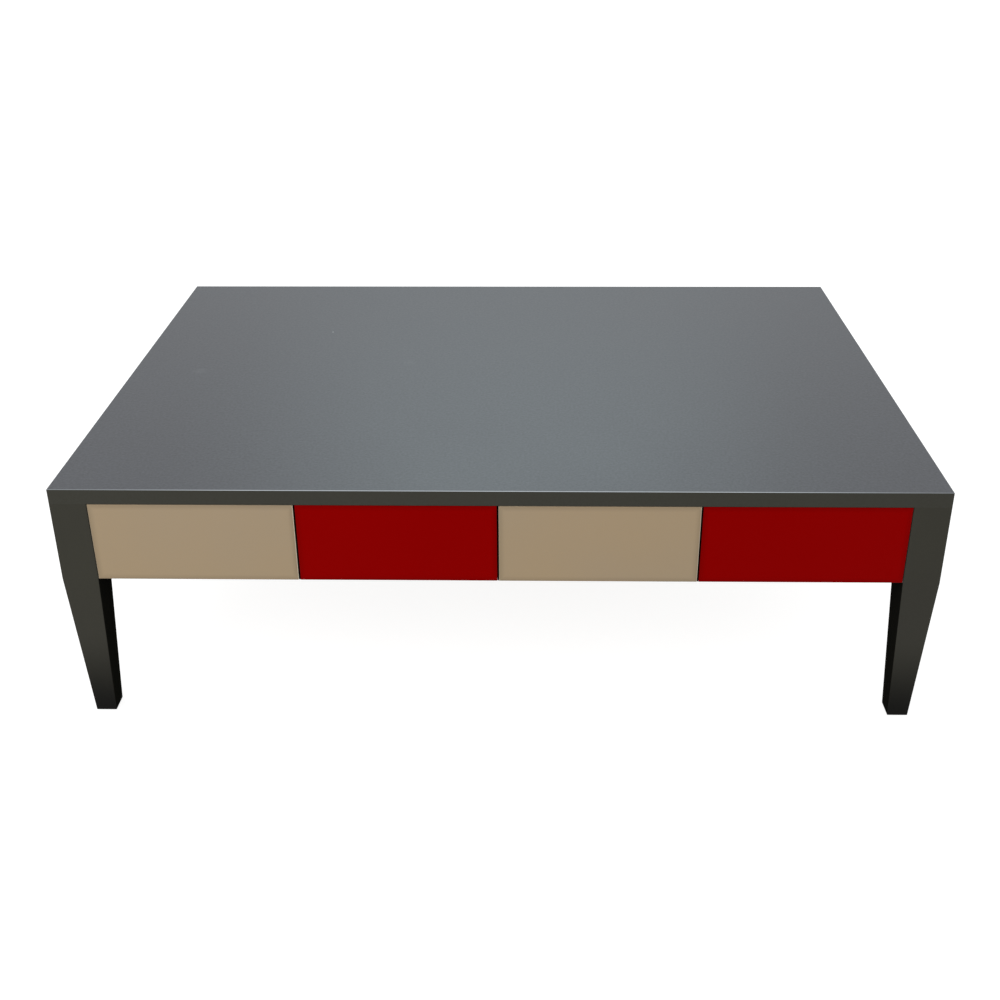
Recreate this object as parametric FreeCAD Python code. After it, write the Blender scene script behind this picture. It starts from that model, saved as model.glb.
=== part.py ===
import FreeCAD, Part
import math
import os

Vector = FreeCAD.Vector

# A low coffee table: a lacquered top on four tapered legs, with a row of inset drawers along the front.
# Millimetres, +Z up. The origin is on the floor, under the middle of the top. The drawers open towards -Y.
# The frame is glued and dowelled. Each drawer is a plywood box behind a lacquered front, and runs on a
# pair of two-piece ball-bearing slides between the case panels. Its front has no handle: fingers reach
# under its lower edge, which hangs below the box.

# Overall size
length = 1200.0
depth = 800.0
height = 375.0

# Lacquered frame
top_thickness = 22.0
apron_height = 118.0
apron_thickness = 20.0
leg_width = 50.0
foot_width = 29.0
outer_arris = 1.0
apron_arris = 1.0

# Glides under the legs
glide_thickness = 2.0
glide_inset = 4.5
glide_edge_radius = 0.6
glide_nail_diameter = 2.5
glide_nail_length = 18.0

# Case panels that carry the slides, and the rails that tie them together underneath
case_thickness = 12.0
case_setback = 1.0
case_lift = 4.0
tie_width = 40.0
tie_height = 18.0
front_tie_setback = 50.0
back_tie_setback = 90.0

# Drawers
drawer_count = 4
front_thickness = 19.0
front_arris = 1.0
front_gap = 2.5
leg_gap = 0.8
top_gap = 0.8
box_clearance = 6.0
box_headroom = 14.0
box_wall = 12.0
box_edge_radius = 1.0
rabbet_depth = 6.0
bottom_thickness = 5.0
bottom_lift = 8.0
groove_depth = 5.0

# Ball-bearing slides
slide_length = 500.0
slide_inset = 2.0
slide_height = 27.0
slide_width = 10.0
slide_web = 1.2
slide_flange = 1.6
slide_clearance = 0.4
stop_height = 12.0
stop_clearance = 0.3
track_depth = 0.4
ball_diameter = 3.2
ball_clearance = 0.25
ball_pitch = 18.0
ball_count = 6
cage_gauge = 0.8
cage_margin = 14.0
cage_hole_clearance = 0.2

# Fasteners
frame_dowel_diameter = 8.0
frame_dowel_length = 36.0
case_dowel_diameter = 6.0
case_dowel_length = 30.0
dowel_cover = 9.0
hole_relief = 1.0
leg_dowel_offset = 10.0
dowel_inset = 60.0
screw_core_diameter = 3.0
screw_head_diameter = 6.4
screw_head_height = 1.8
screw_head_rim = 0.6
screw_recess_width = 0.9
screw_recess_span = 3.6
screw_recess_depth = 1.0
screw_tip_length = 3.0
case_screw_bite = 12.0
slide_screw_cover = 3.2
front_screw_cover = 6.0
front_screw_margin_x = 40.0
front_screw_margin_z = 18.0
leg_screw_margin = 12.0
slide_screw_inset = 40.0
slide_screw_stagger = 16.0

# Clearance round what is glued, driven or housed
fit = 0.1

# Places that several pieces share
half_length = length / 2
half_depth = depth / 2
under_top = height - top_thickness
lower_line = under_top - apron_height
leg_face = half_length - leg_width
apron_end = half_depth - leg_width
back_face = half_depth - apron_thickness
front_back_face = -half_depth + front_thickness
case_front = front_back_face + case_setback
case_bottom = lower_line + case_lift
tie_top = case_bottom + tie_height
bay_width = (2 * leg_face - (drawer_count + 1) * case_thickness) / drawer_count
bay_pitch = bay_width + case_thickness
box_width = bay_width - 2 * slide_width
box_bottom = tie_top + box_clearance
box_top = under_top - box_headroom
box_depth = slide_length + 2 * slide_inset
box_back_face = front_back_face + box_depth
slide_front = front_back_face + slide_inset
slide_back = slide_front + slide_length
slide_level = (box_bottom + box_top) / 2
cage_length = (ball_count - 1) * ball_pitch + 2 * cage_margin
cage_front = slide_front + (slide_length - cage_length) / 2
dowel_in_top = top_thickness - dowel_cover
dowel_in_back = apron_thickness - dowel_cover
case_screw_length = tie_height + case_screw_bite
slide_screw_length = slide_web + min(case_thickness, box_wall) - slide_screw_cover
front_screw_length = box_wall + front_thickness - front_screw_cover

# What each node holds, and the drillings that are cut from it before it is written
nodes = {}
drillings = {}


def block(x0, x1, y0, y1, z0, z1):
    """A box between two opposite corners, given in any order along X."""
    low = min(x0, x1)
    return Part.makeBox(abs(x1 - x0), y1 - y0, z1 - z0, Vector(low, y0, z0))


def rod(radius, start, end):
    """A cylinder from one point to another."""
    along = end - start
    return Part.makeCylinder(radius, along.Length, start, along)


def add(node, *solids):
    """Puts solids into a node."""
    nodes.setdefault(node, []).extend(solids)


def drill(node, tool):
    """Notes a drilling that is cut from a node's solids."""
    drillings.setdefault(node, []).append(tool)


def edges_where(shape, test):
    """The edges whose two ends both pass a test."""
    return [e for e in shape.Edges if all(test(v.Point) for v in e.Vertexes)]


def rounded(shape, radius, test):
    """The shape with the edges that pass a test rounded."""
    return shape.makeFillet(radius, edges_where(shape, test))


def is_near(a, b):
    return abs(a - b) < 1e-6


def square_section(centre_x, centre_y, width, z, radii):
    """A closed square outline at a level. radii are the corners' roundings, anticlockwise from -X -Y."""
    half = width / 2
    signs = [(-1, -1), (1, -1), (1, 1), (-1, 1)]
    edges = []
    ends = []
    for (sx, sy), radius in zip(signs, radii):
        corner = Vector(centre_x + sx * half, centre_y + sy * half, z)
        along_x = Vector(-sx * radius, 0, 0)
        along_y = Vector(0, -sy * radius, 0)
        before, after = (along_y, along_x) if sx * sy > 0 else (along_x, along_y)
        middle = corner + (along_x + along_y) * (1 - math.sqrt(0.5))
        ends.append((corner + before, middle, corner + after))
    for i, (start, middle, end) in enumerate(ends):
        if radii[i] > 0:
            edges.append(Part.Arc(start, middle, end).toShape())
        edges.append(Part.LineSegment(end, ends[(i + 1) % len(ends)][0]).toShape())
    return Part.Wire(edges)


def dowel(group, first, second, joint, axis, diameter, into_first, into_second):
    """A dowel across the joint between two nodes. axis points into the second one."""
    start = joint - axis * into_first
    end = joint + axis * into_second
    add(group, rod(diameter / 2, start, end))
    hole = rod(diameter / 2 + fit, start - axis * hole_relief, end + axis * hole_relief)
    drill(first, hole)
    drill(second, hole)


def make_screw(shank_length):
    """A pan-head wood screw that points down, with its head's seat at the origin."""
    core = screw_core_diameter / 2
    head = screw_head_diameter / 2
    crown = Vector(0, 0, screw_head_height)
    shoulder = Vector(head, 0, screw_head_rim)
    cap = screw_head_height - screw_head_rim
    ball = (head ** 2 + cap ** 2) / (2 * cap)
    half_way = Vector(head / 2, 0, screw_head_height - ball + math.sqrt(ball ** 2 - (head / 2) ** 2))
    dome = Part.Arc(shoulder, half_way, crown)
    corners = [
        crown,
        Vector(0, 0, -shank_length),
        Vector(core, 0, -shank_length + screw_tip_length),
        Vector(core, 0, 0),
        Vector(head, 0, 0),
        shoulder,
    ]
    edges = [Part.LineSegment(a, b).toShape() for a, b in zip(corners, corners[1:])]
    outline = Part.Face(Part.Wire(edges + [dome.toShape()]))
    body = outline.revolve(Vector(0, 0, 0), Vector(0, 0, 1), 360)
    span = screw_recess_span / 2
    width = screw_recess_width / 2
    floor = screw_head_height - screw_recess_depth
    slot = block(-span, span, -width, width, floor, screw_head_height)
    cross = block(-width, width, -span, span, floor, screw_head_height)
    return body.cut(slot.fuse(cross))


def screw(group, pattern, shank_length, seat, direction, *bored):
    """A screw whose head sits at a point, driven along a direction, with its hole in each bored node."""
    placed = pattern.copy()
    placed.Placement = FreeCAD.Placement(seat, FreeCAD.Rotation(Vector(0, 0, -1), direction))
    add(group, placed)
    hole = rod(screw_core_diameter / 2 + fit, seat, seat + direction * (shank_length + hole_relief))
    for node in bored:
        drill(node, hole)


def make_top():
    panel = block(-half_length, half_length, -half_depth, half_depth, under_top, height)

    def on_corner(p):
        return is_near(abs(p.x), half_length) and is_near(abs(p.y), half_depth)

    upright = [e for e in edges_where(panel, on_corner) if is_near(e.Length, top_thickness)]
    rim = edges_where(panel, lambda p: is_near(p.z, height))
    add("top_panel", panel.makeFillet(outer_arris, upright + rim))


def make_leg(node, sx, sy):
    """One leg: square beside the aprons, then tapered on all four faces. sx and sy give its corner."""
    x = sx * (half_length - leg_width / 2)
    y = sy * (half_depth - leg_width / 2)
    corners = [(-1, -1), (1, -1), (1, 1), (-1, 1)]
    free = [(sx, sy)]
    if sy < 0:
        free.append((-sx, sy))
    upper = [outer_arris if corner in free else 0.0 for corner in corners]
    lower = [outer_arris] * len(corners)
    post = Part.Face(square_section(x, y, leg_width, lower_line, upper))
    post = post.extrude(Vector(0, 0, apron_height))
    knee = square_section(x, y, leg_width, lower_line, lower)
    foot = square_section(x, y, foot_width, glide_thickness, lower)
    taper = Part.makeLoft([foot, knee], True, True)
    add(node, post.fuse(taper).removeSplitter())

    floor = Vector(x, y, 0)
    seat = Vector(x, y, glide_thickness)
    disc = rod(foot_width / 2 - glide_inset, floor, seat)
    disc = rounded(disc, glide_edge_radius, lambda p: is_near(p.z, 0))
    nail_top = seat + Vector(0, 0, glide_nail_length)
    add("leg_glides", disc.fuse(rod(glide_nail_diameter / 2, seat, nail_top)))
    drill(node, rod(glide_nail_diameter / 2 + fit, seat, nail_top + Vector(0, 0, hole_relief)))

    up = Vector(0, 0, 1)
    for across in (1, -1):
        shift = across * leg_dowel_offset
        joint = Vector(x + sx * shift, y + sy * shift, under_top)
        in_leg = frame_dowel_length - dowel_in_top
        dowel("frame_dowels", node, "top_panel", joint, up, frame_dowel_diameter, in_leg, dowel_in_top)


def make_aprons():
    """The two side aprons and the back apron, flush with the legs' outer faces."""
    up = Vector(0, 0, 1)
    half_dowel = frame_dowel_length / 2
    in_apron = frame_dowel_length - dowel_in_top
    size = frame_dowel_diameter
    levels = (lower_line + apron_height / 4, under_top - apron_height / 4)
    centre = half_length - apron_thickness / 2

    def lower_edge(p):
        return is_near(p.z, lower_line)

    for side, sx in (("left", -1), ("right", 1)):
        node = "side_apron_" + side
        inner_face = half_length - apron_thickness
        board = block(sx * half_length, sx * inner_face, -apron_end, apron_end, lower_line, under_top)
        outer = edges_where(board, lambda p: lower_edge(p) and is_near(abs(p.x), half_length))
        add(node, board.makeFillet(apron_arris, outer))
        for end, sy in (("front", -1), ("back", 1)):
            along = Vector(0, sy, 0)
            for z in levels:
                joint = Vector(sx * centre, sy * apron_end, z)
                leg = f"leg_{end}_{side}"
                dowel("frame_dowels", node, leg, joint, along, size, half_dowel, half_dowel)
        for y in (-apron_end + dowel_inset, 0, apron_end - dowel_inset):
            joint = Vector(sx * centre, y, under_top)
            dowel("frame_dowels", node, "top_panel", joint, up, size, in_apron, dowel_in_top)

    board = block(-leg_face, leg_face, back_face, half_depth, lower_line, under_top)
    outer = edges_where(board, lambda p: lower_edge(p) and is_near(p.y, half_depth))
    add("back_apron", board.makeFillet(apron_arris, outer))
    middle = half_depth - apron_thickness / 2
    for side, sx in (("left", -1), ("right", 1)):
        along = Vector(sx, 0, 0)
        for z in levels:
            joint = Vector(sx * leg_face, middle, z)
            leg = "leg_back_" + side
            dowel("frame_dowels", "back_apron", leg, joint, along, size, half_dowel, half_dowel)
        for x in (leg_face - dowel_inset, leg_face / 3):
            joint = Vector(sx * x, middle, under_top)
            dowel("frame_dowels", "back_apron", "top_panel", joint, up, size, in_apron, dowel_in_top)


def panel_name(i):
    """The case panel at the left of bay i, counted from the left. The last one closes the last bay."""
    if i == 0:
        return "case_side_left"
    if i == drawer_count:
        return "case_side_right"
    return f"divider_{i}"


def panel_left(i):
    """The left face of case panel i."""
    return -leg_face + i * bay_pitch


def make_case(long_screw):
    """The panels between the bays, and the two rails that tie their lower edges."""
    up = Vector(0, 0, 1)
    front_tie = case_front + front_tie_setback
    back_tie = back_face - back_tie_setback - tie_width
    ties = (("tie_rail_front", front_tie), ("tie_rail_back", back_tie))
    last = leg_face - case_thickness
    for node, y in ties:
        add(node, block(-last, last, y, y + tie_width, case_bottom, tie_top))

    for i in range(drawer_count + 1):
        node = panel_name(i)
        left = panel_left(i)
        middle = left + case_thickness / 2
        right = left + case_thickness
        board = block(left, right, case_front, back_face, case_bottom, under_top)
        is_divider = 0 < i < drawer_count
        for tie, y in ties:
            tie_middle = y + tie_width / 2
            if is_divider:
                notch = block(left, right, y - fit, y + tie_width + fit, case_bottom, tie_top + fit)
                board = board.cut(notch)
                seat = Vector(middle, tie_middle, case_bottom)
                screw("case_screws", long_screw, case_screw_length, seat, up, tie, node)
            else:
                sx = -1 if i == 0 else 1
                seat = Vector(sx * leg_face, tie_middle, case_bottom + tie_height / 2)
                inward = Vector(-sx, 0, 0)
                screw("case_screws", long_screw, case_screw_length, seat, inward, node, tie)
        add(node, board)
        for y in (case_front + dowel_inset, (case_front + back_face) / 2, back_face - dowel_inset):
            joint = Vector(middle, y, under_top)
            in_panel = case_dowel_length - dowel_in_top
            dowel("case_dowels", node, "top_panel", joint, up, case_dowel_diameter, in_panel, dowel_in_top)
        back = Vector(0, 1, 0)
        joint = Vector(middle, back_face, lower_line + apron_height / 2)
        in_panel = case_dowel_length - dowel_in_back
        dowel("case_dowels", node, "back_apron", joint, back, case_dowel_diameter, in_panel, dowel_in_back)

    for side, sx in (("left", -1), ("right", 1)):
        outward = Vector(sx, 0, 0)
        for end, sy in (("front", -1), ("back", 1)):
            for z in (tie_top, under_top - leg_screw_margin):
                seat = Vector(sx * last, sy * (half_depth - leg_width / 2), z)
                bored = ("case_side_" + side, f"leg_{end}_{side}")
                screw("case_screws", long_screw, case_screw_length, seat, outward, *bored)


def channel(place, hand, end, outline):
    """A bar from the slide's front to an end. Its outline is in distances from the panel, and heights."""
    points = [Vector(place + hand * u, slide_front, slide_level + w) for u, w in outline]
    face = Part.Face(Part.makePolygon(points + points[:1]))
    return face.extrude(Vector(0, end - slide_front, 0))


def make_slide(drawer, panel, wall, place, hand, short_screw):
    """One slide. place is the case panel's face and hand the way from it to the drawer.

    The outer member opens towards the drawer and the inner member towards the panel. Two rows of balls,
    kept apart by a cage, run in grooves between their flanges. The cage travels half as far as the drawer.
    When it meets the outer member's front tab and the inner member's back tab, the drawer is fully open.
    The outer member's back tab stops the drawer as it closes.
    """
    ball = ball_diameter / 2
    groove = ball + ball_clearance
    half = slide_height / 2
    outer_lip = half - slide_flange
    row_level = outer_lip + track_depth - groove
    inner_top = 2 * row_level - outer_lip
    inner_lip = inner_top - slide_flange
    web = slide_web
    inner_web = slide_width - web
    cage_face = web + screw_head_height + slide_clearance
    inner_tip = cage_face + cage_gauge + slide_clearance
    flange_reach = inner_web - slide_clearance
    row = (inner_tip + flange_reach) / 2

    stop_front = slide_back + stop_clearance
    stop_back = stop_front + web
    stop_low = slide_level - stop_height / 2
    stop_high = slide_level + stop_height / 2

    def tab(u0, u1, y0):
        return block(place + hand * u0, place + hand * u1, y0, y0 + web, stop_low, stop_high)

    outer = channel(place, hand, stop_back, [
        (0, -half), (flange_reach, -half), (flange_reach, -outer_lip), (web, -outer_lip),
        (web, outer_lip), (flange_reach, outer_lip), (flange_reach, half), (0, half),
    ])
    outer = outer.fuse([tab(0, cage_face + cage_gauge, slide_front), tab(0, flange_reach, stop_front)])
    inner = channel(place, hand, slide_back, [
        (slide_width, -inner_top), (inner_tip, -inner_top), (inner_tip, -inner_lip), (inner_web, -inner_lip),
        (inner_web, inner_lip), (inner_tip, inner_lip), (inner_tip, inner_top), (slide_width, inner_top),
    ])
    inner = inner.fuse(tab(cage_face, slide_width, slide_back - web))

    cage_back = cage_front + cage_length
    cage_top = row_level + cage_gauge / 2
    web_place = place + hand * cage_face
    web_end = place + hand * (cage_face + cage_gauge)
    cage_end = place + hand * flange_reach
    cage = block(web_place, web_end, cage_front, cage_back, slide_level - cage_top, slide_level + cage_top)
    first_ball = cage_front + cage_margin
    x = place + hand * row
    for sz in (-1, 1):
        z = slide_level + sz * row_level
        track = rod(groove, Vector(x, slide_front, z), Vector(x, stop_back, z))
        outer = outer.cut(track)
        inner = inner.cut(track)
        strip = block(web_place, cage_end, cage_front, cage_back, z - cage_gauge / 2, z + cage_gauge / 2)
        cage = cage.fuse(strip)
        for i in range(ball_count):
            centre = Vector(x, first_ball + i * ball_pitch, z)
            above = Vector(0, 0, ball_diameter)
            cage = cage.cut(rod(ball + cage_hole_clearance, centre - above, centre + above))
            add(drawer + "_ball_cages", Part.makeSphere(ball, centre))
    add(drawer + "_slide_outer", outer.removeSplitter())
    add(drawer + "_slide_inner", inner.removeSplitter())
    add(drawer + "_ball_cages", cage.removeSplitter())

    stagger = slide_screw_stagger if hand > 0 else 0
    towards_panel = Vector(-hand, 0, 0)
    towards_box = Vector(hand, 0, 0)
    middle = (slide_front + slide_back) / 2
    for y in (slide_front + slide_screw_inset, middle, slide_back - slide_screw_inset):
        seat = Vector(place + hand * web, y + stagger, slide_level)
        bored = (drawer + "_slide_outer", panel)
        screw("slide_screws", short_screw, slide_screw_length, seat, towards_panel, *bored)
        seat = Vector(place + hand * inner_web, y, slide_level)
        bored = (drawer + "_slide_inner", wall)
        screw(drawer + "_screws", short_screw, slide_screw_length, seat, towards_box, *bored)


def make_box(drawer, centre, front_screw):
    """A plywood drawer box: sides rabbeted for the ends, and a bottom housed in grooves all round."""
    half = box_width / 2
    inside = half - box_wall
    end_half = inside + rabbet_depth
    floor = box_bottom + bottom_lift
    ceiling = floor + bottom_thickness
    inner_front = front_back_face + box_wall
    inner_back = box_back_face - box_wall
    groove = block(
        centre - inside - groove_depth, centre + inside + groove_depth,
        inner_front - groove_depth, inner_back + groove_depth, floor - fit, ceiling + fit,
    )

    def top_edge(p):
        return is_near(p.z, box_top)

    ends = (("box_front", front_back_face, inner_front), ("box_back", inner_back, box_back_face))
    end_blocks = []
    for name, y0, y1 in ends:
        board = block(centre - end_half, centre + end_half, y0, y1, box_bottom, box_top)
        end_blocks.append(board)
        add(f"{drawer}_{name}", board.cut(groove))
    for name, sx in (("side_left", -1), ("side_right", 1)):
        board = block(
            centre + sx * inside, centre + sx * half, front_back_face, box_back_face, box_bottom, box_top
        )
        long_edges = [e for e in edges_where(board, top_edge) if is_near(e.Length, box_depth)]
        board = board.makeFillet(box_edge_radius, long_edges)
        for end in end_blocks:
            board = board.cut(end)
        add(f"{drawer}_{name}", board.cut(groove))
    reach = inside + groove_depth - fit
    add(drawer + "_bottom", block(
        centre - reach, centre + reach, inner_front - groove_depth + fit, inner_back + groove_depth - fit,
        floor, ceiling,
    ))

    forward = Vector(0, -1, 0)
    for sx in (-1, 1):
        for z in (ceiling + front_screw_margin_z, box_top - front_screw_margin_z):
            seat = Vector(centre + sx * (inside - front_screw_margin_x), inner_front, z)
            bored = (drawer + "_box_front", drawer + "_front")
            screw(drawer + "_screws", front_screw, front_screw_length, seat, forward, *bored)


def make_front(drawer, i):
    """The lacquered front of bay i, which fills its share of the space between the legs."""
    left = -leg_face + leg_gap
    if i > 0:
        left = panel_left(i) + case_thickness / 2 + front_gap / 2
    right = leg_face - leg_gap
    if i < drawer_count - 1:
        right = panel_left(i + 1) + case_thickness / 2 - front_gap / 2
    board = block(left, right, -half_depth, front_back_face, lower_line, under_top - top_gap)
    add(drawer + "_front", rounded(board, front_arris, lambda p: is_near(p.y, -half_depth)))


def make_drawers(short_screw, front_screw):
    for i in range(drawer_count):
        drawer = f"drawer_{i + 1}"
        left = panel_left(i) + case_thickness
        right = left + bay_width
        make_front(drawer, i)
        make_box(drawer, (left + right) / 2, front_screw)
        make_slide(drawer, panel_name(i), drawer + "_side_left", left, 1, short_screw)
        make_slide(drawer, panel_name(i + 1), drawer + "_side_right", right, -1, short_screw)


def write_nodes():
    """Cuts the drillings and writes one file for each node."""
    os.makedirs("parts", exist_ok=True)
    for node, solids in nodes.items():
        tools = drillings.get(node)
        if tools:
            solids = [solid.cut(tools) for solid in solids]
        pieces = [piece for solid in solids for piece in solid.Solids]
        shape = pieces[0] if len(pieces) == 1 else Part.makeCompound(pieces)
        if not shape.isValid():
            print("not valid:", node)
        shape.exportStep(f"parts/{node}.step")
    print(len(nodes), "nodes,", sum(len(s) for s in nodes.values()), "solids")


make_top()
for end, sy in (("front", -1), ("back", 1)):
    for side, sx in (("left", -1), ("right", 1)):
        make_leg(f"leg_{end}_{side}", sx, sy)
make_aprons()
make_case(make_screw(case_screw_length))
make_drawers(make_screw(slide_screw_length), make_screw(front_screw_length))
write_nodes()
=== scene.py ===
"""Dresses a low coffee table with four drawers: its finishes, the floor, the light and the camera.

Metres, in the table's own frame: +Z up, the floor at Z = 0, the drawers facing -Y.
"""

import logging
import math
from dataclasses import dataclass, replace
from enum import Enum, IntEnum

import bpy
import numpy as np
from bpy.types import Material, Node, NodeSocket, NodeTree, Object
from mathutils import Matrix, Vector

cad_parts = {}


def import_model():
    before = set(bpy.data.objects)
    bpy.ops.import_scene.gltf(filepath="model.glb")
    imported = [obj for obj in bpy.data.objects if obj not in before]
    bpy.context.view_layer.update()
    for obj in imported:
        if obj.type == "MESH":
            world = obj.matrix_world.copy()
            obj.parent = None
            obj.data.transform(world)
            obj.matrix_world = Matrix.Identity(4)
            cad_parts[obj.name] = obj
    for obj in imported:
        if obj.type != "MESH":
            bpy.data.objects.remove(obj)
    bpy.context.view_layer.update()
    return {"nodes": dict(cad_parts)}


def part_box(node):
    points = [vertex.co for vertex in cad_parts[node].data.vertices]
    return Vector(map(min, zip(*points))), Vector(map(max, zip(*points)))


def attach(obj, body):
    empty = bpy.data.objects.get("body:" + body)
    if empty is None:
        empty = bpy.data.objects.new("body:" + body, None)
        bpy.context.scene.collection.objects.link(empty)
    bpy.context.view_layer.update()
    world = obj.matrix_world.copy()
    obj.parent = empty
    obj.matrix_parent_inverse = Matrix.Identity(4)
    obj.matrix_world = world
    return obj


MM = 0.001
WHITE = "#ffffff"

log = logging.getLogger("coffee_table")


class Axis(Enum):
    """The three axes of the table's frame, by their place in a vector."""

    X = 0
    Y = 1
    Z = 2


class Mix(IntEnum):
    """The places of a Mix node's inputs, whose names repeat for numbers and for colours."""

    FACTOR = 0
    NUMBER_A = 2
    NUMBER_B = 3
    COLOUR_A = 6
    COLOUR_B = 7


# The place of a Mix node's output for colours.
MIXED_COLOUR = 2


def linear(colour: str) -> tuple[float, float, float, float]:
    """Turns an sRGB hex colour to linear light.

    Args:
        colour: the colour as "#rrggbb".

    Returns:
        Red, green, blue and an alpha of 1.
    """
    srgb = np.array([int(colour[i : i + 2], 16) for i in (1, 3, 5)]) / 255.0
    light = np.where(srgb <= 0.04045, srgb / 12.92, ((srgb + 0.055) / 1.055) ** 2.4)
    return (*light.tolist(), 1.0)


def per_metre(size_mm: float) -> float:
    """How often a pattern of a size in millimetres repeats in a metre."""
    return 1.0 / (size_mm * MM)


def add_node(
    tree: NodeTree, kind: str, settings: dict | None = None, inputs: dict | None = None
) -> Node:
    """Adds one node to a tree.

    Args:
        tree: the tree that gets the node.
        kind: the node's type.
        settings: the node's own properties.
        inputs: for each input socket, by name or number, a value or the socket that feeds it.

    Returns:
        The new node.
    """
    node = tree.nodes.new(kind)
    for name, value in (settings or {}).items():
        setattr(node, name, value)
    for key, value in (inputs or {}).items():
        if isinstance(value, NodeSocket):
            tree.links.new(value, node.inputs[key])
        else:
            node.inputs[key].default_value = value
    return node


class Recipe:
    """A material while its nodes are added, with one Principled shader at its end."""

    def __init__(self, name: str, constants: dict[str, object]) -> None:
        """Makes the material and its shader.

        Args:
            name: the material's name.
            constants: values of the shader's sockets that are the same all over.
        """
        self.material: Material = bpy.data.materials.new(name)
        self.material.use_nodes = True
        self.material.node_tree.nodes.clear()
        self.shader = self.add("ShaderNodeBsdfPrincipled", inputs=constants)
        self.add("ShaderNodeOutputMaterial", inputs={"Surface": self.shader.outputs["BSDF"]})
        coordinates = self.add("ShaderNodeTexCoord")
        self.place: NodeSocket = coordinates.outputs["Object"]
        self.normal: NodeSocket = coordinates.outputs["Normal"]

    def add(self, kind: str, settings: dict | None = None, inputs: dict | None = None) -> Node:
        """Adds one node to the material, as add_node does."""
        return add_node(self.material.node_tree, kind, settings, inputs)

    def feed(self, sockets: dict[str, NodeSocket]) -> Material:
        """Links what varies over the surface to the shader.

        Args:
            sockets: the shader's inputs, and what feeds them.

        Returns:
            The finished material.
        """
        for name, socket in sockets.items():
            self.material.node_tree.links.new(socket, self.shader.inputs[name])
        return self.material


@dataclass(frozen=True)
class Lacquer:
    """Satin lacquer sprayed on smooth board: an even film with a fine orange peel.

    The eye gets an even colour that drifts a little over a hand's breadth, a fine grain where the light
    grazes it, and a painted highlight: a paler colour on rounded edges, where they would catch the light.
    """

    name: str
    colour: str
    drift_colour: str
    arris_highlight_colour: str
    arris_highlight_share: float
    roughness: float
    specular_tint: str
    gloss: float = 0.5
    ior: float = 1.5
    drift_mm: float = 170.0
    grain_mm: float = 2.2
    grain_share: float = 0.35
    # The part of the noise over which the film goes from one colour to the other.
    film_range: tuple[float, float] = (0.3, 0.7)
    roughness_drift: float = 0.04
    peel_mm: float = 2.4
    peel_depth_mm: float = 0.010
    # The largest part of the normal where an edge's painted highlight begins, and where it has its full
    # share.
    arris_range: tuple[float, float] = (0.985, 0.8)

    def material(self) -> Material:
        """Builds the finish's material.

        Returns:
            The material.
        """
        recipe = Recipe(self.name, {
            "IOR": self.ior, "Specular IOR Level": self.gloss,
            "Specular Tint": linear(self.specular_tint),
        })
        drift = recipe.add("ShaderNodeTexNoise", inputs={
            "Vector": recipe.place, "Scale": per_metre(self.drift_mm), "Detail": 3.0, "Roughness": 0.4,
        })
        grain = recipe.add("ShaderNodeTexNoise", inputs={
            "Vector": recipe.place, "Scale": per_metre(self.grain_mm), "Detail": 1.0,
        })
        mixed = recipe.add("ShaderNodeMix", inputs={
            Mix.FACTOR: self.grain_share, Mix.NUMBER_A: drift.outputs[0], Mix.NUMBER_B: grain.outputs[0],
        })
        share = recipe.add("ShaderNodeMapRange", inputs={
            "Value": mixed.outputs[0], "From Min": self.film_range[0], "From Max": self.film_range[1],
        })
        film = recipe.add("ShaderNodeMix", {"data_type": "RGBA"}, {
            Mix.FACTOR: share.outputs[0],
            Mix.COLOUR_A: linear(self.colour), Mix.COLOUR_B: linear(self.drift_colour),
        })
        # Painted highlight: the arrises get a paler colour where a rounded edge would catch the light.
        highlighted = recipe.add("ShaderNodeMix", {"data_type": "RGBA"}, {
            Mix.FACTOR: self.arris_highlight_mask(recipe),
            Mix.COLOUR_A: self.tone(recipe, film.outputs[MIXED_COLOUR]),
            Mix.COLOUR_B: linear(self.arris_highlight_colour),
        })
        roughness = recipe.add("ShaderNodeMapRange", inputs={
            "Value": drift.outputs[0],
            "To Min": self.roughness - self.roughness_drift,
            "To Max": self.roughness + self.roughness_drift,
        })
        peel = recipe.add("ShaderNodeTexNoise", inputs={
            "Vector": recipe.place, "Scale": per_metre(self.peel_mm), "Detail": 2.0,
        })
        bump = recipe.add("ShaderNodeBump", inputs={
            "Distance": self.peel_depth_mm * MM, "Height": peel.outputs[0],
        })
        return recipe.feed({
            "Base Color": highlighted.outputs[MIXED_COLOUR], "Roughness": roughness.outputs[0],
            "Normal": bump.outputs[0],
        })

    def tone(self, recipe: Recipe, colour: NodeSocket) -> NodeSocket:
        """What a kind of lacquer adds to the film's colour: here nothing."""
        return colour

    def arris_highlight_mask(self, recipe: Recipe) -> NodeSocket:
        """Adds a mask of the rounded edges, where the normal lies between two axes, for the painted
        highlight.

        Args:
            recipe: the material that is being built.

        Returns:
            A socket that is 0 on flat faces and reaches the finish's share half way round an edge.
        """
        sizes = recipe.add("ShaderNodeVectorMath", {"operation": "ABSOLUTE"}, {0: recipe.normal})
        parts = recipe.add("ShaderNodeSeparateXYZ", inputs={0: sizes.outputs[0]})
        wider = recipe.add("ShaderNodeMath", {"operation": "MAXIMUM"}, {
            0: parts.outputs["X"], 1: parts.outputs["Y"],
        })
        widest = recipe.add("ShaderNodeMath", {"operation": "MAXIMUM"}, {
            0: wider.outputs[0], 1: parts.outputs["Z"],
        })
        mask = recipe.add("ShaderNodeMapRange", inputs={
            "Value": widest.outputs[0], "From Min": self.arris_range[0], "From Max": self.arris_range[1],
            "To Max": self.arris_highlight_share,
        })
        return mask.outputs[0]


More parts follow.
